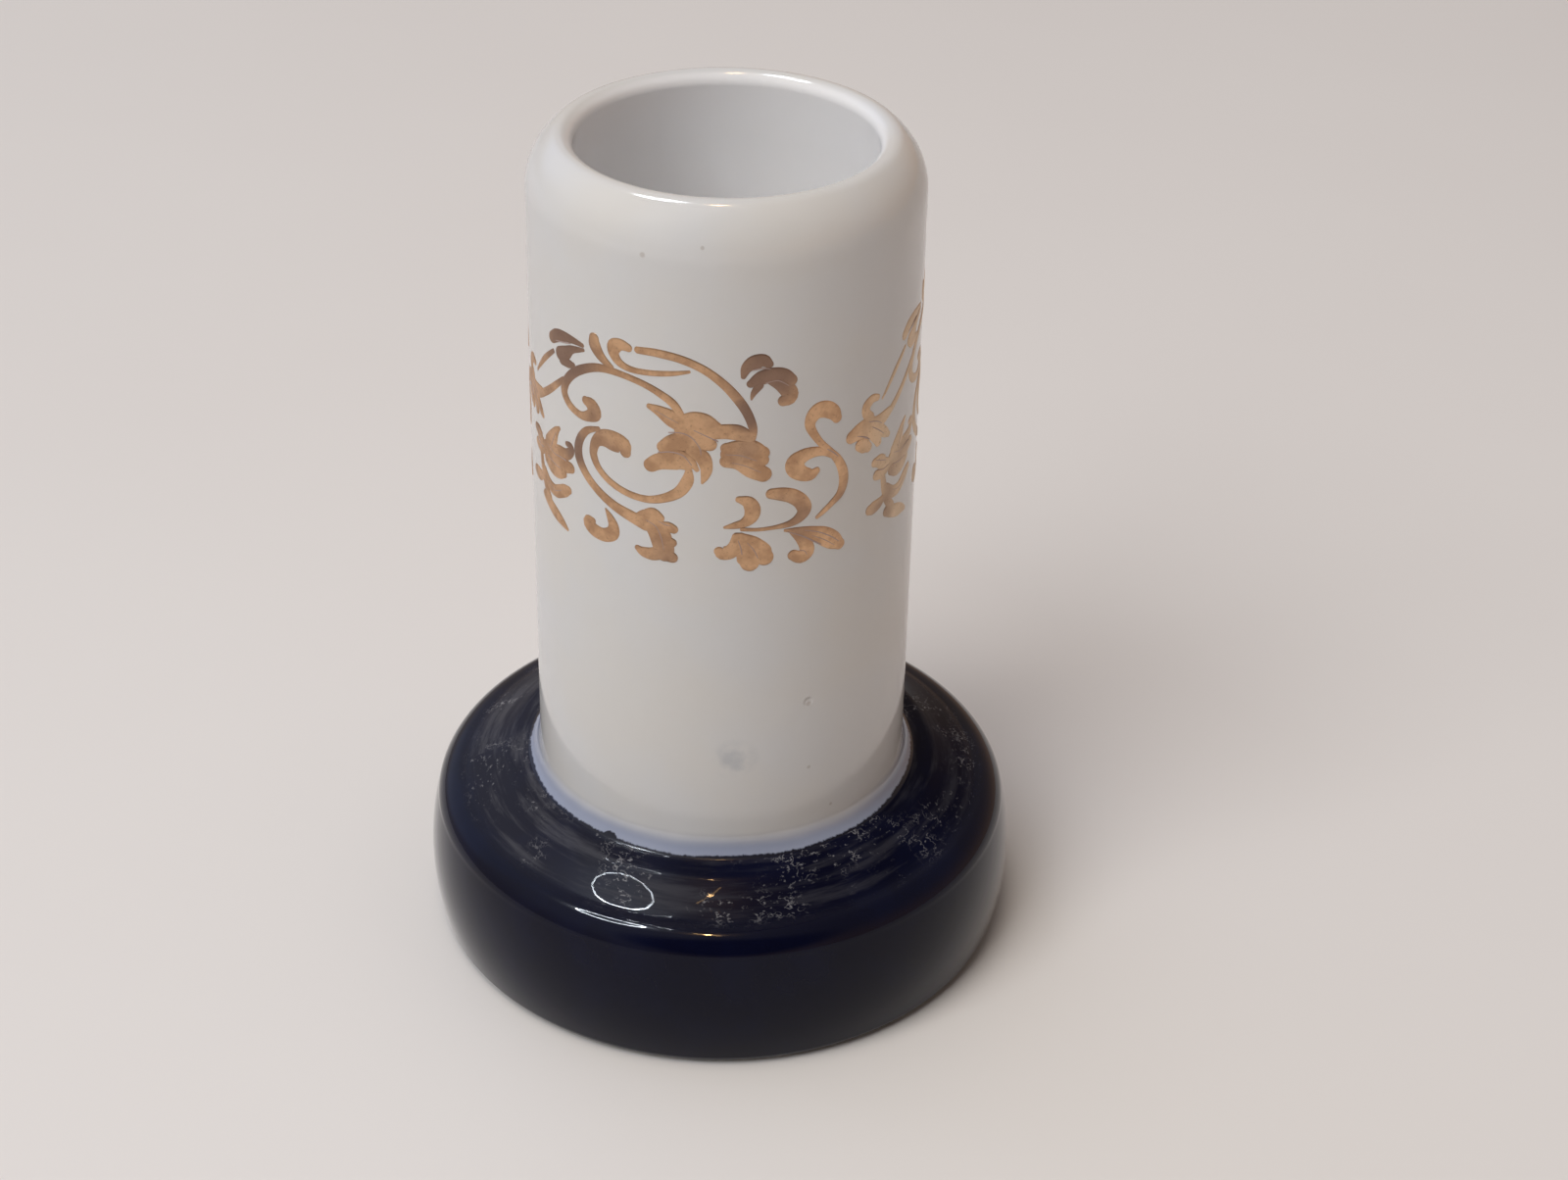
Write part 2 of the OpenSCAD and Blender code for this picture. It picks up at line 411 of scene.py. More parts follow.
# %% Cobalt finish
BISCUIT = (0.62, 0.57, 0.50)
DUST_AND_SHEEN = (0.40, 0.40, 0.42)

cobalt = Finish("cobalt_glaze", IOR=1.5, Specular_IOR_Level=0.03, Coat_IOR=1.26, Coat_Roughness=0.02)
place = cobalt.place()
x, y, height = cobalt.parts(place)
angle = y.math("ARCTAN2", x)
radius = (x * x + y * y).math("SQRT")
along = cobalt.attribute("along")
print("cobalt: texture space ready")

# %% [markdown]
# ## The cobalt ring
# The glaze changes inside the cove, a little above its lowest point. From there
# the ring's top runs out over a soft shoulder, dips through a shallow hollow
# and turns over a fat roll into a barrelled side. Below, the mouth opens on the
# clapper. Shoulder and hollow are tangent arcs, so each centre is worked out
# from the arc before it, and the glaze shows no crease between them.

# %% Ring
SHELF_RUN, SHELF_R, TOP_FALL = 0.85, 2.1, 29
SLOPE_R, SLOPE_FALL, HOLLOW_R = 22.0, 20, 1.5
BEAD_R, BEAD_TURN = 2.3, 82
BELLY_R, BELLY_Z, SIDE_HIGH, SIDE_LOW = 20.3, 5.5, 15.6, -13.1
FOOT_ROUND, MOUTH_R, MOUTH_ROUND = 1.2, 20.5, 0.8
FLARE_R, FLARE_Z = 8.0, 5.2


def on_arc(centre, radius, angle):
    """The point of a circle at one angle; also a step of `radius` in that direction."""
    return arc(centre, radius, angle, angle, 1)[0]


def length_of(outline):
    return sum(math.dist(a, b) for a, b in zip(outline, outline[1:]))


bead_c = (RING_R - 2.97, RING_H - BEAD_R)
shelf_start = on_arc(on_arc(cove_c, COVE_R, COVE_END), SHELF_RUN, COVE_END - 270)
shelf_c = on_arc(shelf_start, SHELF_R, COVE_END)
slope_c = on_arc(shelf_c, SHELF_R + SLOPE_R, 90 - TOP_FALL)
hollow_c = on_arc(slope_c, SLOPE_R - HOLLOW_R, 270 - SLOPE_FALL)
outside = (
    [(BORE_R, collar_top), (COLLAR_R, collar_top), (COLLAR_R, JOINT_Z)]
    + arc(cove_c, COVE_R, COVE_JOINT, COVE_END, 8)
    + arc(shelf_c, SHELF_R, COVE_END - 180, 90 - TOP_FALL, 20)
    + arc(slope_c, SLOPE_R, 271 - TOP_FALL, 270 - SLOPE_FALL, 24)
    + arc(hollow_c, HOLLOW_R, 272 - SLOPE_FALL, BEAD_TURN + 180, 10)
    + arc(bead_c, BEAD_R, BEAD_TURN, SIDE_HIGH, 28)
    + arc((RING_R - BELLY_R, BELLY_Z), BELLY_R, SIDE_HIGH, SIDE_LOW, 32)
    + arc((RING_R - 1.71, FOOT_ROUND), FOOT_ROUND, SIDE_LOW, -90, 16)
)
inside = (
    arc((MOUTH_R + MOUTH_ROUND, MOUTH_ROUND), MOUTH_ROUND, 270, 180, 12)
    + straight((MOUTH_R, MOUTH_ROUND), (MOUTH_R, FLARE_Z), 6)
    + arc((MOUTH_R - FLARE_R, FLARE_Z), FLARE_R, 0, 90, 32)
    + [(BORE_R, FLARE_Z + FLARE_R + 0.4), (BORE_R, collar_top - 0.02)]
)
print("hollow ends", [round(v, 2) for v in on_arc(hollow_c, HOLLOW_R, BEAD_TURN + 180)],
      "roll starts", [round(v, 2) for v in on_arc(bead_c, BEAD_R, BEAD_TURN)])
joint_at = length_of(outside[:3])
foot_at = length_of(outside)
mouth_at = length_of(outside + inside[:13])
ring = turn("glazed_ring", outside + inside)
wear(ring, cobalt)
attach(ring, "shell")
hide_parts("cobalt_ring")
print(f"foot bare from {foot_at - 0.7:.1f} to {mouth_at - 0.9:.1f} mm along the outline")

# %% [markdown]
# The finish needs those lengths, so its colours are settled only now.

# %% Cobalt colours
level = cobalt.step(along, joint_at + 9.5, joint_at + 7.5)
level = level * cobalt.step(along, joint_at + 1.2, joint_at + 2.4)
patch = cobalt.step(cobalt.noise(place, 6.5, 2), 0.42, 0.6)
drawn_out = cobalt.vector(angle * 15.0, radius, height)
dust = cobalt.step(cobalt.noise(drawn_out, 0.4, 3, 0.62), 0.60, 0.69) * patch * level
fibres = (cobalt.noise(drawn_out, 0.9, 3, 0.6) - 0.5).math("ABSOLUTE")
rubbed = cobalt.step(cobalt.noise(place, 2.4, 2), 0.48, 0.6)
scratch = cobalt.step(fibres, 0.022, 0.006) * rubbed * patch * level
wiped_round = cobalt.vector(angle * 5.0, radius * 2.2, height * 2.2)
film = cobalt.step(cobalt.noise(wiped_round, 2.6, 4, 0.65), 0.45, 0.7) * level
tint = cobalt.step(cobalt.noise(place, 5, 3), 0.4, 0.7)
blue = cobalt.mix(tint * 0.5, COBALT, (0.003, 0.0045, 0.020))
# Painted sheen: the left part of the ring's top is painted greyer, as light from the left would show on it,
# on top of the real film and dust.
painted_left_sheen = cobalt.step(x, 2.0, -20.0)
blue = cobalt.mix(film * 0.05 + level * painted_left_sheen * (0.04 + film * 0.05), blue, DUST_AND_SHEEN)
blue = cobalt.mix(dust * 0.45, blue, DUST_AND_SHEEN)
blue = cobalt.mix(scratch * 0.4, blue, DUST_AND_SHEEN)
ripple = cobalt.noise(cobalt.vector(angle * 6.0, 0.0, 0.0), 1.8, 3) * 1.2
inner = cobalt.step(along + ripple * 0.25, mouth_at - 1.2, mouth_at - 0.9)
bare = cobalt.step(along + ripple * 0.25, foot_at - 0.55, foot_at - 0.2)
bare = bare * (1 - cobalt.step(along + ripple * 0.25, mouth_at - 1.1, mouth_at - 0.7))
white = white_glaze_colour(cobalt, place)
colour = cobalt.mix(inner, blue, white)
colour = cobalt.mix(bare, colour, BISCUIT)
cobalt.set(Base_Color=colour)
cobalt.set(Roughness=0.15 + level * 0.15 + film * 0.1 + bare * 0.6)
cobalt.set(Coat_Weight=(1 - level * 0.88 - film * 0.06 - dust * 0.06) * (1 - bare * 0.95))
cobalt.bump(cobalt.noise(place, 5.0, 2) + bare * cobalt.noise(place, 0.25, 4) * 3, 0.01, 0.4)
print("cobalt:", len(cobalt.tree.nodes), "nodes")

# %% [markdown]
# ## The gilt scrolls
# The gold is laid on over the glaze as brush strokes: long tapering stems, fat
# curled leaves, and flowers made of short overlapping dabs. Drawing them as a
# flat picture would need an image. Strokes with a few points each say the same
# in a painter's terms: where the brush went, and how hard it was pressed. Each
# point is (distance round the tube, height, half-width) in millimetres, and a
# smooth curve runs through them.

# %% Strokes
REPEATS = 3
STEMS = [
    [(-18.2, 53.4, .14), (-16.6, 55.1, .26), (-15.1, 56.4, .2)],
    [(-18.8, 51.0, .26), (-17.6, 51.6, .34), (-16.0, 52.7, .34), (-14.8, 53.7, .3), (-13.8, 54.6, .22)],
    [(-6.5, 59.4, .3), (-5, 59.45, .35), (-3.2, 59.2, .35), (-1.5, 58.5, .35), (-.1, 57.4, .37),
     (1, 56.1, .4), (1.7, 54.9, .38), (2.1, 53.7, .34), (2.1, 52.9, .25)],
    [(-3.3, 54.8, .34), (-4.0, 55.7, .36), (-5.8, 56.65, .3), (-8, 57.1, .3), (-10, 57.0, .36),
     (-11.9, 56.1, .4),
     (-13.2, 54.9, .42), (-13.7, 53.7, .44), (-13.1, 52.8, .4), (-11.9, 52.4, .36), (-11.0, 52.6, .48),
     (-10.4, 53.1, .72), (-10.7, 53.65, .68), (-11.2, 53.8, .42)],
    [(-10, 51.9, .2), (-11.2, 51.3, .32), (-12, 50.1, .42), (-12.1, 48.8, .48), (-11.4, 47.6, .44),
     (-10.2, 46.6, .42), (-8.7, 45.8, .46), (-7.2, 45.3, .55), (-6, 44.9, .6)],
    [(-7.6, 50.7, .5), (-7.8, 51.2, .78), (-8.6, 51.3, .92), (-9.5, 51.25, .78), (-10.2, 50.8, .5),
     (-10.5, 50.1, .42),
     (-10.5, 49.4, .4), (-10, 48.5, .34), (-8.9, 47.7, .33), (-7.4, 47.2, .32), (-5.8, 47.1, .33),
     (-4.4, 47.5, .4), (-3.3, 48.2, .48), (-2.7, 49.2, .5), (-2.6, 50.0, .3)],
    [(8.8, 53.4, .44), (8.5, 53.9, .62), (7.9, 54.35, .72), (7.2, 54.45, .72), (6.7, 54.05, .62),
     (6.5, 53.4, .46),
     (6.75, 52.7, .36), (7.4, 51.7, .3), (8.2, 50.8, .3), (9, 49.8, .38), (9.5, 48.7, .46),
     (9.6, 47.7, .46),
     (9.3, 46.8, .4), (8.6, 46.2, .3), (7.9, 45.7, .26), (7.3, 45.3, .18)],
    [(3.6, 48.05, .48), (4.4, 47.9, .6), (5.2, 47.6, .64), (5.9, 47.0, .64), (6.2, 46.3, .64),
     (5.9, 45.7, .5),
     (5.1, 45.25, .32), (3.9, 45.1, .2), (2.6, 45.05, .17), (1.4, 45.15, .18)],
    [(-17.6, 48.2, .14), (-17.8, 47.2, .24), (-17.7, 46.2, .34), (-17.4, 45, .42), (-16.9, 43.9, .45),
     (-16.3, 43.2, .4)],
    [(14.9, 45, .14), (14.2, 44.5, .35), (13.5, 44.2, .56), (12.8, 44.1, .6), (12.5, 44.1, .48)],
]
LEAVES = [
    [(-15.2, 57.5, .5), (-14.5, 57.95, .55), (-13.6, 58.25, .45), (-12.5, 58.35, .32), (-11.5, 58.3, .2)],
    [(-14.1, 56.6, .62), (-13.4, 56.95, .6), (-12.7, 57.5, .36), (-11.9, 57.8, .24), (-11.4, 57.95, .16)],
    [(-13.9, 56.1, .36), (-13.1, 56.2, .4), (-12.5, 56.3, .22)],
    [(-10.3, 59.25, .5), (-10.25, 58.8, .6), (-9.85, 58.2, .5), (-9.3, 57.75, .36), (-8.7, 57.45, .2)],
    [(-7.3, 59.4, .36), (-7.9, 59.5, .5), (-8.45, 59.2, .64), (-8.5, 58.6, .5), (-8, 58.0, .36),
     (-7, 57.7, .27),
     (-5.5, 57.75, .25), (-4, 57.95, .23), (-2.6, 58.25, .14)],
    [(1.35, 58.0, .22), (1.55, 58.65, .45), (2.1, 59.1, .62), (2.8, 59.2, .56), (3.2, 58.9, .36)],
    [(1.9, 57.4, .34), (2.6, 57.8, .6), (3.5, 58.0, .62), (4.3, 57.85, .62), (4.9, 57.4, .5)],
    [(3.3, 57.6, .34), (4.2, 57.1, .58), (4.8, 56.4, .68), (4.75, 55.95, .66), (4.4, 55.8, .5)],
    [(1.95, 56.1, .1), (2.1, 56.6, .24), (2.5, 57.2, .36)],
    [(-9.4, 45.2, .12), (-9.0, 44.6, .36), (-8.7, 43.9, .52), (-8.85, 43.25, .62), (-9.6, 42.85, .62),
     (-10.5, 42.9, .66), (-11.1, 43.25, .66), (-11.1, 43.6, .48), (-10.7, 43.7, .3)],
    [(-14.5, 50.1, .18), (-15.0, 49.6, .4), (-15.5, 48.8, .7), (-16.0, 48, .9)],
    [(-13.5, 49.2, .24), (-13.1, 49.2, .36), (-13.0, 48.8, .42), (-13.5, 48.3, .5), (-14.3, 48.1, .6),
     (-15.1, 47.8, .7)],
    [(-16.5, 47.6, .6), (-15.7, 47.3, .9), (-14.8, 47.1, .9), (-13.9, 47.2, .72), (-13.1, 47.3, .5)],
    [(-16.5, 46.5, .55), (-15.6, 46.2, .7), (-14.7, 46.2, .6), (-14.0, 46.4, .4)],
    [(-17.2, 45.1, .5), (-16.3, 44.4, .56), (-15.3, 44.25, .58), (-14.5, 44.6, .58), (-13.8, 45, .54),
     (-13.4, 45.2, .38)],
    [(-17, 43.0, .5), (-16.1, 42.6, .6), (-15.1, 42.2, .6), (-14.3, 41.9, .42), (-13.7, 41.6, .2)],
    [(8.5, 50.3, .25), (7.8, 50.8, .36), (7.0, 51.0, .46), (6.1, 50.9, .62), (5.4, 50.45, .8),
     (5.45, 49.85, .78),
     (6.0, 49.35, .64), (6.7, 49.15, .54), (7.1, 49.35, .34)],
    [(1.15, 47.75, .3), (1.8, 47.5, .54), (2.15, 46.9, .64), (2.05, 46.2, .6), (1.5, 45.7, .42),
     (.8, 45.5, .3),
     (.1, 45.35, .14)],
    [(4.7, 44.7, .14), (5.7, 44.5, .32), (6.8, 44.1, .56), (7.9, 43.5, .8), (8.8, 42.8, .78),
     (9.4, 42.3, .5)],
    [(5.2, 44.4, .15), (5.9, 43.8, .42), (6.4, 43.1, .6), (6.5, 42.45, .66), (6.0, 42.1, .58),
     (5.4, 42.4, .48)],
]
FLOWERS = [
    [(-5.6, 55.0, .25), (-4.8, 54.75, .5), (-3.9, 54.3, .75), (-3.0, 53.9, .8)],
    [(-2.9, 54.3, .55), (-2.3, 54.3, .78), (-1.5, 54.2, .8), (-.8, 53.8, .65)],
    [(-.9, 53.4, .6), (.1, 53.5, .65), (1.0, 53.4, .68), (1.8, 53.0, .5)],
    [(-3.1, 53.3, .6), (-2.2, 53.3, .75), (-1.2, 53.2, .6)],
    [(-4.5, 51.8, .55), (-3.9, 52.2, .72), (-3, 52.5, .85), (-2, 52.6, .9), (-1.1, 52.4, .58)],
    [(-5.5, 50.1, .6), (-4.9, 50.5, .7), (-4, 50.75, .8), (-3.2, 50.7, .7), (-2.7, 50.4, .4)],
    [(-2.4, 51.8, .5), (-1.6, 51.3, .62), (-1.3, 50.4, .5), (-1.4, 49.7, .35), (-1.6, 49.1, .12)],
    [(.2, 52.1, .5), (1.1, 52.1, .74), (2.0, 51.95, .84), (2.8, 51.6, .6)],
    [(.2, 51.0, .55), (1.1, 50.9, .66), (2.1, 50.3, .8), (2.9, 49.8, .68)],
    [(.3, 51.6, .6), (1.2, 51.6, .8), (2.1, 51.2, .75), (2.8, 51.0, .55)],
    [(-4.0, 51.35, .35), (-3.2, 51.3, .5), (-2.5, 50.9, .4), (-2.0, 50.2, .2)],
    [(-6.6, 45.2, .48), (-5.7, 45.5, .78), (-5, 44.6, .92), (-4.6, 43.5, .92), (-4.5, 42.8, .85)],
    [(-5.7, 45.9, .46), (-5.3, 46.0, .5), (-4.9, 45.7, .46)],
    [(-4.6, 44.9, .54), (-4.1, 45.0, .5), (-3.8, 44.9, .42)],
    [(-4.4, 43.8, .5), (-3.9, 43.7, .42)],
    [(-4.6, 42.6, .6), (-3.9, 42.4, .5)],
    [(-6.6, 42.65, .28), (-6.2, 42.45, .46), (-5.5, 42.4, .58), (-4.9, 42.6, .6)],
    [(1.3, 44.4, .5), (2.1, 43.8, .8), (2.8, 43.0, .95), (3.1, 42.6, .75)],
    [(1.6, 43.5, .7), (1.9, 42.65, .95), (2.0, 42.25, .8)],
    [(1.0, 44.5, .4), (.9, 43.7, .6), (.5, 43.2, .64), (-.1, 43.1, .6), (-.3, 43.25, .42)],
    [(12.9, 53.7, .3), (12.3, 53.8, .42), (11.7, 53.4, .5), (11.7, 52.8, .45), (12.1, 52.3, .5)],
    [(10.3, 51.3, .6), (11, 51.5, .8), (11.9, 51.6, .86), (12.8, 51.5, .72), (13.7, 51.8, .48),
     (14.4, 52.1, .25)],
    [(11.2, 50.3, .58), (11.7, 50.0, .62), (12, 49.8, .45)],
    [(12.5, 50.9, .62), (13.0, 50.3, .58), (13.2, 49.8, .42)],
    [(13.2, 51, .5), (14.0, 50.3, .46), (14.5, 49.9, .26)],
    [(12.9, 48.1, .42), (13.5, 48.0, .62), (14, 47.6, .58), (14.6, 47.5, .35)],
    [(13.2, 46.9, .48), (13.8, 46.8, .52), (14.4, 46.9, .42), (14.9, 47.1, .26)],
]
VEINS = [
    [(-4.9, 51.3, .05), (-3.9, 51.5, .07), (-3, 51.3, .08), (-2.4, 50.6, .05)],
    [(-4.1, 53.1, .04), (-3.2, 53.2, .07), (-2.4, 52.9, .07), (-1.8, 52.1, .06), (-1.7, 51.5, .04)],
    [(-2.2, 53.5, .05), (-1.3, 53.1, .07), (-.5, 52.7, .06)],
    [(-5.2, 54.8, .03), (-4.3, 54.4, .05), (-3.4, 54.0, .03)],
    [(.1, 51.6, .04), (1.2, 51.5, .06), (2.4, 51.0, .04)],
    [(.6, 50.9, .03), (1.6, 50.6, .05), (2.7, 50.0, .04)],
    [(8.0, 51.0, .05), (8.5, 50.6, .08), (9.0, 50.1, .04)],
    [(4.9, 44.55, .04), (6, 44.0, .07), (7, 43.3, .08), (7.7, 42.8, .05)],
    [(6.3, 44.4, .04), (7.4, 44.0, .07), (8.5, 43.3, .07), (9.3, 42.6, .04)],
    [(6.9, 43.8, .03), (7.9, 43.2, .05), (8.9, 42.4, .03)],
    [(5.9, 42.7, .03), (6.3, 42.6, .05), (6.5, 42.2, .03)],
    [(1.1, 44.2, .04), (1.3, 43.6, .06), (1.4, 43.0, .05)],
    [(1.8, 44.0, .03), (2.3, 43.3, .06), (2.6, 42.6, .04)],
    [(-5.9, 45.3, .04), (-5.1, 44.9, .06), (-4.7, 44.0, .06), (-4.5, 43.0, .04)],
    [(-4.9, 45.4, .03), (-4.4, 45.2, .05), (-4.0, 45.2, .03)],
    [(-16.3, 47.9, .04), (-15.3, 47.6, .06), (-14.3, 47.7, .06), (-13.6, 47.7, .04)],
    [(-16.3, 46.9, .04), (-15.3, 46.7, .06), (-14.4, 46.7, .04)],
    [(-14.9, 49.6, .03), (-15.4, 48.7, .06), (-15.7, 48.0, .04)],
    [(-16.3, 44.6, .03), (-15.3, 44.3, .05), (-14.3, 44.8, .03)],
    [(3.0, 57.4, .04), (3.9, 57.5, .06), (4.7, 57.0, .04)],
    [(2.0, 58.5, .04), (2.7, 58.6, .06), (3.3, 58.5, .04)],
    [(-14.6, 57.5, .04), (-13.8, 57.7, .06), (-12.8, 57.95, .04)],
    [(12.4, 51.4, .05), (13.1, 50.9, .07), (13.8, 50.3, .04)],
    [(10.8, 51.2, .04), (11.5, 50.9, .07), (12.1, 50.5, .04)],
    [(12.0, 52.0, .05), (12.9, 51.7, .07), (13.5, 51.3, .04)],
    [(13.0, 48.3, .04), (13.7, 48.0, .06), (14.2, 47.8, .04)],
    [(13.3, 47.3, .04), (14.0, 47.1, .06), (14.6, 47.2, .04)],
]
print(len(STEMS + LEAVES + FLOWERS + VEINS), "strokes in one motif,", REPEATS, "motifs round the tube")

# %% [markdown]
# A stroke becomes a low dome of gold: a smooth curve is walked in short steps,
# and at each step a half-oval section is laid across it. The ends close like a
# lifted brush. Domes that overlap cut into each other and leave a fine crease,
# which is just what overlapping dabs of gold do.

# %% Strokes to gold
GOLD_T = 0.07
ACROSS = 9
STEP_MM = 0.16


def curve_point(p0, p1, p2, p3, t):
    return tuple(
        0.5 * (2 * b + (c - a) * t + (2 * a - 5 * b + 4 * c - d) * t * t + (3 * b - a - 3 * c + d) * t ** 3)
        for a, b, c, d in zip(p0, p1, p2, p3))


def walk(stroke):
    """Even steps along the smooth curve through a stroke's points, with rounded ends."""
    ends = [stroke[0]] + stroke + [stroke[-1]]
    path = []
    for p0, p1, p2, p3 in zip(ends, ends[1:], ends[2:], ends[3:]):
        steps = max(2, round(math.dist(p1[:2], p2[:2]) / STEP_MM))
        path += [curve_point(p0, p1, p2, p3, i / steps) for i in range(steps)]
    path.append(stroke[-1])
    return round_end(path[::-1])[::-1][:-1] + round_end(path)[len(path) - 1:]


def round_end(path):
    """Adds a half-round tip after the last point."""
    (s1, z1, _), (s, z, w) = path[-2], path[-1]
    length = math.hypot(s - s1, z - z1)
    ds, dz = (s - s1) / length, (z - z1) / length
    tips = [math.sin(math.pi / 2 * i / 6) for i in range(1, 7)]
    return path + [(s + ds * w * t, z + dz * w * t, max(w * math.sqrt(1 - t * t), 0.01)) for t in tips]


def on_tube(s, z, lift):
    """A point on the tube's wall, s mm round from the front, lifted off the glaze."""
    share = (z - cove_c[1]) / (lip_z - cove_c[1])
    r = WALL_LOW_R + (WALL_TOP_R - WALL_LOW_R) * share
    angle = s / WALL_TOP_R - math.pi / 2
    wave, _ = out_of_round(angle % (2 * math.pi), r, z)
    r += wave + lift
    return (r * math.cos(angle) * MM, r * math.sin(angle) * MM, z * MM)


def gild(name, strokes, thickness):
    points, faces, rounds = [], [], 2 * math.pi * WALL_TOP_R / REPEATS
    for turn_no in range(REPEATS):
        for stroke in strokes:
            path = round_path = walk(stroke)
            start = len(points)
            for i, (s, z, w) in enumerate(path):
                a, b = path[max(i - 1, 0)], path[min(i + 1, len(path) - 1)]
                length = math.hypot(b[0] - a[0], b[1] - a[1]) or 1
                ns, nz = -(b[1] - a[1]) / length, (b[0] - a[0]) / length
                tall = thickness * min(1, w / 0.25) if thickness == GOLD_T else thickness
                for k in range(ACROSS):
                    u = math.cos(math.pi * k / (ACROSS - 1))
                    lift = tall * math.sqrt(max(0, 1 - u * u)) ** 0.7 - 0.02
                    points.append(on_tube(s + ns * u * w + turn_no * rounds, z + nz * u * w, lift))
                points.append(on_tube(s + turn_no * rounds, z, -0.06))
            ring_size = ACROSS + 1
            last = len(round_path) - 1
            for i in range(last):
                for k in range(ring_size):
                    m = (k + 1) % ring_size
                    a = start + i * ring_size
                    faces.append((a + k, a + m, a + ring_size + m, a + ring_size + k))
            faces.append(tuple(start + k for k in range(ring_size))[::-1])
            faces.append(tuple(start + last * ring_size + k for k in range(ring_size)))
    made = make_object(name, points, faces, sharp=60)
    print(f"{name}: {len(strokes)} strokes, {len(faces)} faces")
    return made


# %% [markdown]
# ## Gold
# Burnished gold on a curved wall mostly reflects dim parts of the room, so it
# reads as brown and copper rather than yellow. Wear shows as fine lines along
# the brushing and as thin places where the glaze darkens it. Four darker spots
# are painted dark reflections, and the right side is a painted paler sheen.

# %% Gilding
gold = Finish("gilding", Metallic=1.0, IOR=1.5)
place = gold.place()
x, y, height = gold.parts(place)
angle = x.math("ARCTAN2", y * -1)
brushed = gold.noise(gold.vector(angle * 15 + height * 0.8, height - angle * 9, 0.0), 0.3, 4, 0.65)
cloud = gold.noise(place, 1.6, 3, 0.6)


def painted_dark_reflection_spot(s, z, size):
    """1 at a point s mm round the tube and z mm high, fading to 0 at `size` mm from it."""
    across, up = angle * WALL_TOP_R - s, height - z
    return gold.step((across * across + up * up).math("SQRT"), size, size * 0.3)


wear_and_dark_reflections = gold.step(gold.noise(place, 7, 2), 0.52, 0.7) * 0.6
# Painted reflection: these four spots are darkened as the gold's dark reflections, on top of the random
# wear.
for s, z, size in ((-13.2, 57.0, 4.6), (3.2, 58.2, 4.2), (-12.4, 49.5, 2.4), (1.8, 55.0, 2.2)):
    wear_and_dark_reflections = wear_and_dark_reflections.math("MAXIMUM", painted_dark_reflection_spot(s, z, size) * 0.9)
# Painted sheen: the gold on the right side of the tube is painted paler and yellower.
painted_right_sheen = gold.step(angle, 0.55, 1.0)
colour = gold.mix(gold.step(cloud, 0.35, 0.65), (0.70, 0.45, 0.27), (0.52, 0.32, 0.19))
colour = gold.mix(painted_right_sheen * 0.7, colour, (0.62, 0.50, 0.36))
colour = gold.mix(wear_and_dark_reflections, colour, (0.30, 0.20, 0.155))
colour = gold.mix(gold.step(brushed, 0.56, 0.7) * 0.5, colour, (0.26, 0.16, 0.10))
gold.set(Base_Color=colour)
gold.set(Roughness=0.34 + cloud * 0.2 + wear_and_dark_reflections * 0.1)
gold.bump(brushed * 0.5 + cloud * 0.5, 0.02, 0.7)

shade = Finish("gilding_lines", Metallic=0.2, Roughness=0.4)
shade.set(Base_Color=(0.38, 0.28, 0.25, 1))
for name, strokes, finish in (("gilt_stems", STEMS, gold), ("gilt_leaves", LEAVES, gold),
                              ("gilt_flowers", FLOWERS, gold), ("gilt_veins", VEINS, shade)):
    gilt = gild(name, strokes, GOLD_T + 0.012 if finish is shade else GOLD_T)
    wear(gilt, finish)
    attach(gilt, "shell")

# %% [markdown]
# ## Brass
# The pin, its washer and collar, the clapper's wire and its end stop are turned
# or drawn brass. Their shapes in the mechanical model are already the real
# ones, so they stay and only take a finish: warm metal, dulled in clouds, with
# the fine rings that a lathe leaves.

# %% Brass finish
brass = Finish("brass", Metallic=1.0)
place = brass.place()
x, y, height = brass.parts(place)
radius = (x * x + y * y).math("SQRT")
dull = brass.step(brass.noise(place, 1.8, 4, 0.6), 0.4, 0.7)
lathe = ((radius + height) * 60).math("SINE")
colour = brass.mix(dull, (0.80, 0.58, 0.27), (0.42, 0.28, 0.13))
brass.set(Base_Color=colour)
brass.set(Roughness=0.22 + dull * 0.25)
brass.bump(lathe * 0.5 + brass.noise(place, 0.4, 3), 0.004, 0.6)
for name in ("brass_washer", "hanger_pin", "lock_collar", "clapper_wire", "end_stop"):
    wear(nodes[name], brass)
print("brass on", "pin, washer, collar, wire and end stop")

# %% [markdown]
# ## The felt seat
# A disc punched from wool felt has soft rounded edges and a hairy face that is
# never flat. It is turned as a cushion-edged disc, and its points are then
# moved in and out by a small noise. It never grows beyond the space it has.

# %% Felt seat
felt = Finish("felt", Roughness=0.95)
place = felt.place()
fuzz = felt.noise(place, 0.16, 5, 0.8)
colour = felt.mix(fuzz, (0.10, 0.010, 0.016), (0.34, 0.05, 0.055))
felt.set(Base_Color=colour)
felt.bump(fuzz, 0.12, 1.0)

felt_r, felt_t = felt_high.x, felt_high.z - felt_low.z
rng = random.Random(4)
felt_waves = [(rng.randint(5, 40), rng.uniform(0, 6.28), rng.uniform(0.01, 0.03)) for _ in range(12)]


def fuzzy(angle, r, z):
    if r < 2.5:
        return 0, 0
    drift = sum(size * math.sin(count * angle + shift) for count, shift, size in felt_waves)
    return drift - 0.1, 0


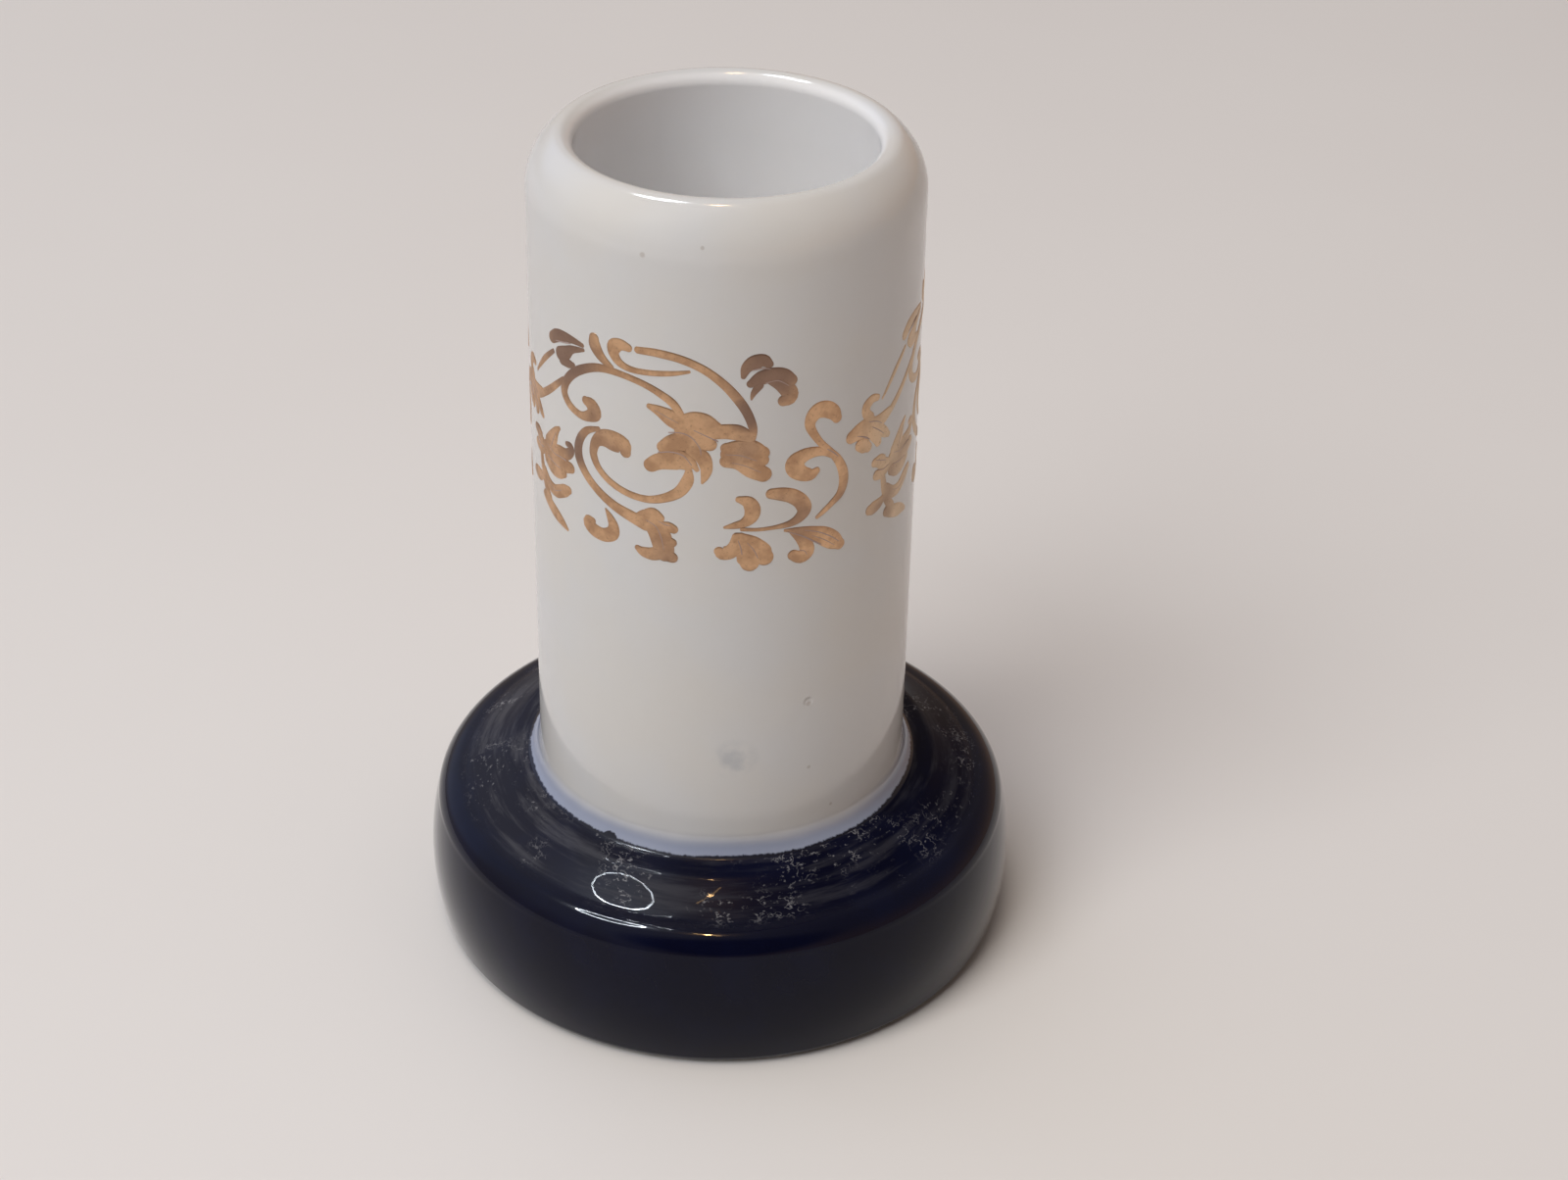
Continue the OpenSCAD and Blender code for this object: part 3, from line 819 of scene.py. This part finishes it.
seat = turn("felt_seat", (
    [(1.8, felt_low.z), (felt_r - 0.35, felt_low.z)]
    + arc((felt_r - 0.4, felt_low.z + 0.4), 0.4, -80, 0, 6)
    + arc((felt_r - 0.4, felt_high.z - 0.4), 0.4, 0, 90, 6)
    + straight((felt_r - 0.4, felt_high.z), (1.8, felt_high.z), 8)
    + [(1.8, felt_high.z)]
), sides=96, drift=fuzzy)
wear(seat, felt)
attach(seat, "shell")
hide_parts("felt_washer")
print(f"felt {2 * felt_r:.0f} mm across, {felt_t:.1f} mm thick")

# %% [markdown]
# ## The clapper ball
# A ball turned from a fruit-wood blank strikes softly enough not to chip the
# glaze. Two lines scored at its waist are cut while it spins. The grain runs
# through the whole blank, so its rings are solid: planes of noise cut by the
# ball's surface, not a picture wrapped round it.

# %% Turned ball
ball_r = ball_high.x
ball_mid = (ball_low.z + ball_high.z) / 2
BORE = 0.75
SINK_R, SINK_D = 1.7, 1.6
pole = math.degrees(math.asin((ball_high.z - ball_mid) / ball_r))
scored = []
for start, end in ((-pole, -10.4), (-7.6, 7.6), (10.4, pole)):
    scored += arc((0, ball_mid), ball_r, start, end, 28)
    if end < pole:
        middle = math.radians(end + 1.4)
        scored.append(((ball_r - 0.22) * math.cos(middle), ball_mid + (ball_r - 0.22) * math.sin(middle)))
ball = turn("turned_ball", (
    [(BORE, ball_low.z + SINK_D), (SINK_R, ball_low.z + SINK_D), (SINK_R, ball_low.z + 0.15),
     (SINK_R + 0.1, ball_low.z)]
    + scored[2:-2]
    + [(1.2, ball_high.z), (BORE, ball_high.z - 0.15)]
), sides=160)
wood = Finish("turned_wood", Roughness=0.45)
place = wood.place()
x, y, height = wood.parts(place)
swirl = wood.noise(place, 6, 3) * 5
rings = ((x * 1.1 + height * 0.25 + swirl) * 5.5).math("SINE")
pores = wood.step(wood.noise(wood.vector(x * 4, y * 0.5, height * 0.5), 0.6, 3, 0.7), 0.6, 0.7)
colour = wood.mix(rings * 0.5 + 0.5, (0.36, 0.19, 0.085), (0.23, 0.11, 0.045))
colour = wood.mix(pores * 0.6, colour, (0.08, 0.035, 0.015))
wood.set(Base_Color=colour)
wood.set(Roughness=0.36 + pores * 0.3)
wood.bump(rings * 0.2 - pores, 0.02, 0.6)
wear(ball, wood)
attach(ball, "clapper")
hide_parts("clapper_ball")

# %% [markdown]
# ## The floor
# A plain pale floor catches the soft shadow and, just as important, is what the
# side of the cobalt ring reflects. It is large, so that it still fills the view
# from low angles.

# %% Floor
FLOOR_SIZE = 1.5
bpy.ops.mesh.primitive_grid_add(size=FLOOR_SIZE, x_subdivisions=8, y_subdivisions=8, location=(0, 0, 0))
floor = bpy.context.object
floor.name = "floor"
plaster = Finish("floor_paper", Roughness=0.55)
place = plaster.place()
tone = plaster.noise(place, 60, 3)
plaster.set(Base_Color=plaster.mix(tone, (0.715, 0.692, 0.676), (0.742, 0.724, 0.708)))
wear(floor, plaster)
print("floor", FLOOR_SIZE, "m square")

# %% [markdown]
# ## Light
# Glaze is drawn by what it reflects. A wide soft light from the left models the
# tube; it is kept out of the gloss, where its square outline would show. A ring
# lamp on the ceiling leaves the fine closed loops on the lip and the ring, and a
# small warm lamp the amber glints beside them. Twelve short area lights laid end
# to end make the ring lamp, because each of them can be sampled cleanly.

# %% Lamps
MIDDLE = (0, 0, 0.035)


def area_light(name, place, target, size, power, colour):
    data = bpy.data.lights.new(name, "AREA")
    data.shape = "RECTANGLE"
    data.size, data.size_y = size
    data.energy = power
    data.color = colour
    lamp = bpy.data.objects.new(name, data)
    bpy.context.scene.collection.objects.link(lamp)
    lamp.location = place
    lamp.rotation_euler = (Vector(target) - Vector(place)).to_track_quat("-Z", "Y").to_euler()
    lamp.visible_camera = False
    return lamp


def ring_lamp(centre, radius, width, power, colour, count=12):
    chord = 2 * radius * math.sin(math.pi / count)
    for i in range(count):
        turned = 2 * math.pi * i / count
        spot = Vector(centre) + radius * Vector((math.cos(turned), math.sin(turned), 0))
        lamp = area_light(f"ring_lamp_{i}", spot, MIDDLE, (chord, width), power / count, colour)
        lamp.rotation_euler = (0, 0, turned + math.pi / 2)
        lamp.visible_diffuse = False


COOL, AMBER = (0.84, 0.92, 1.0), (1.0, 0.60, 0.25)
soft_lights = [
    area_light("key", (-0.62, -0.62, 1.0), MIDDLE, (0.7, 0.6), 8.2, (0.98, 0.99, 1.0)),
    area_light("overhead", (-0.22, -0.28, 1.4), MIDDLE, (0.6, 0.6), 6.5, (1.0, 0.90, 0.80)),
]
for soft in soft_lights:
    soft.visible_glossy = False
ring_lamp((-0.46, 0.19, 1.4), 0.17, 0.01, 14, COOL)
glints = [
    area_light("warm_bulb", (-0.05, -0.03, 1.4), MIDDLE, (0.03, 0.03), 2.5, AMBER),
    area_light("warm_shade", (-0.05, -0.03, 1.42), MIDDLE, (0.22, 0.01), 0.5, AMBER),
]
for glint in glints:
    glint.visible_diffuse = False
print("lamps:", len(bpy.data.lights))

# %% [markdown]
# The rest of the light is the room itself: a pale ceiling, a dim warm horizon
# and, in front, the dark shape that any polished thing reflects when someone
# stands over it. Three numbers describe that shape: its direction, how far it
# reaches, and how dark it is.

# %% Room
world = bpy.data.worlds.new("room")
bpy.context.scene.world = world
world.use_nodes = True
room = world.node_tree


def room_node(kind, **inputs):
    made = room.nodes.new(kind)
    for key, value in inputs.items():
        socket = made.inputs[int(key[1:])]
        if isinstance(value, bpy.types.NodeSocket):
            room.links.new(value, socket)
        else:
            socket.default_value = value
    return made


def room_step(value, low, high):
    made = room_node("ShaderNodeMapRange", _0=value, _1=low, _2=high, _3=0.0, _4=1.0)
    made.interpolation_type = "SMOOTHSTEP"
    return made.outputs[0]


def room_mix(factor, first, second):
    made = room_node("ShaderNodeMix")
    made.data_type = "RGBA"
    for socket, value in ((made.inputs[0], factor), (made.inputs[6], first), (made.inputs[7], second)):
        if isinstance(value, bpy.types.NodeSocket):
            room.links.new(value, socket)
        else:
            socket.default_value = (*value, 1)
    return made.outputs[2]


CEILING_L, CEILING_R = (0.60, 0.60, 0.62), (0.22, 0.20, 0.19)
HORIZON_L, HORIZON_R = (0.37, 0.33, 0.30), (0.46, 0.31, 0.22)
WINDOW, WINDOW_AT = (0.55, 0.60, 0.78), Vector((-0.60, 0.60, 0.53)).normalized()
FIGURE, FIGURE_AT = (0.03, 0.03, 0.035), Vector((0.05, -0.80, 0.60)).normalized()


def towards(spot, far, near):
    """0 away from a direction and 1 near it; far and near are cosines of the angle."""
    facing = room_node("ShaderNodeVectorMath", _0=direction, _1=spot)
    facing.operation = "DOT_PRODUCT"
    return room_step(facing.outputs["Value"], far, near)


direction = room_node("ShaderNodeTexCoord").outputs["Generated"]
split = room_node("ShaderNodeSeparateXYZ", _0=direction)
sideways = room_step(split.outputs[0], -0.6, 0.5)
upward = room_step(split.outputs[2], 0.05, 0.8)
light = room_mix(upward, room_mix(sideways, HORIZON_L, HORIZON_R), room_mix(sideways, CEILING_L, CEILING_R))
light = room_mix(towards(WINDOW_AT, 0.86, 0.97), light, WINDOW)
light = room_mix(towards(FIGURE_AT, 0.74, 0.92), light, FIGURE)
room.links.new(light, room.nodes["Background"].inputs["Color"])
room.nodes["Background"].inputs["Strength"].default_value = 1.0
bpy.context.scene.view_settings.view_transform = "Standard"
print("room:", len(room.nodes), "nodes")
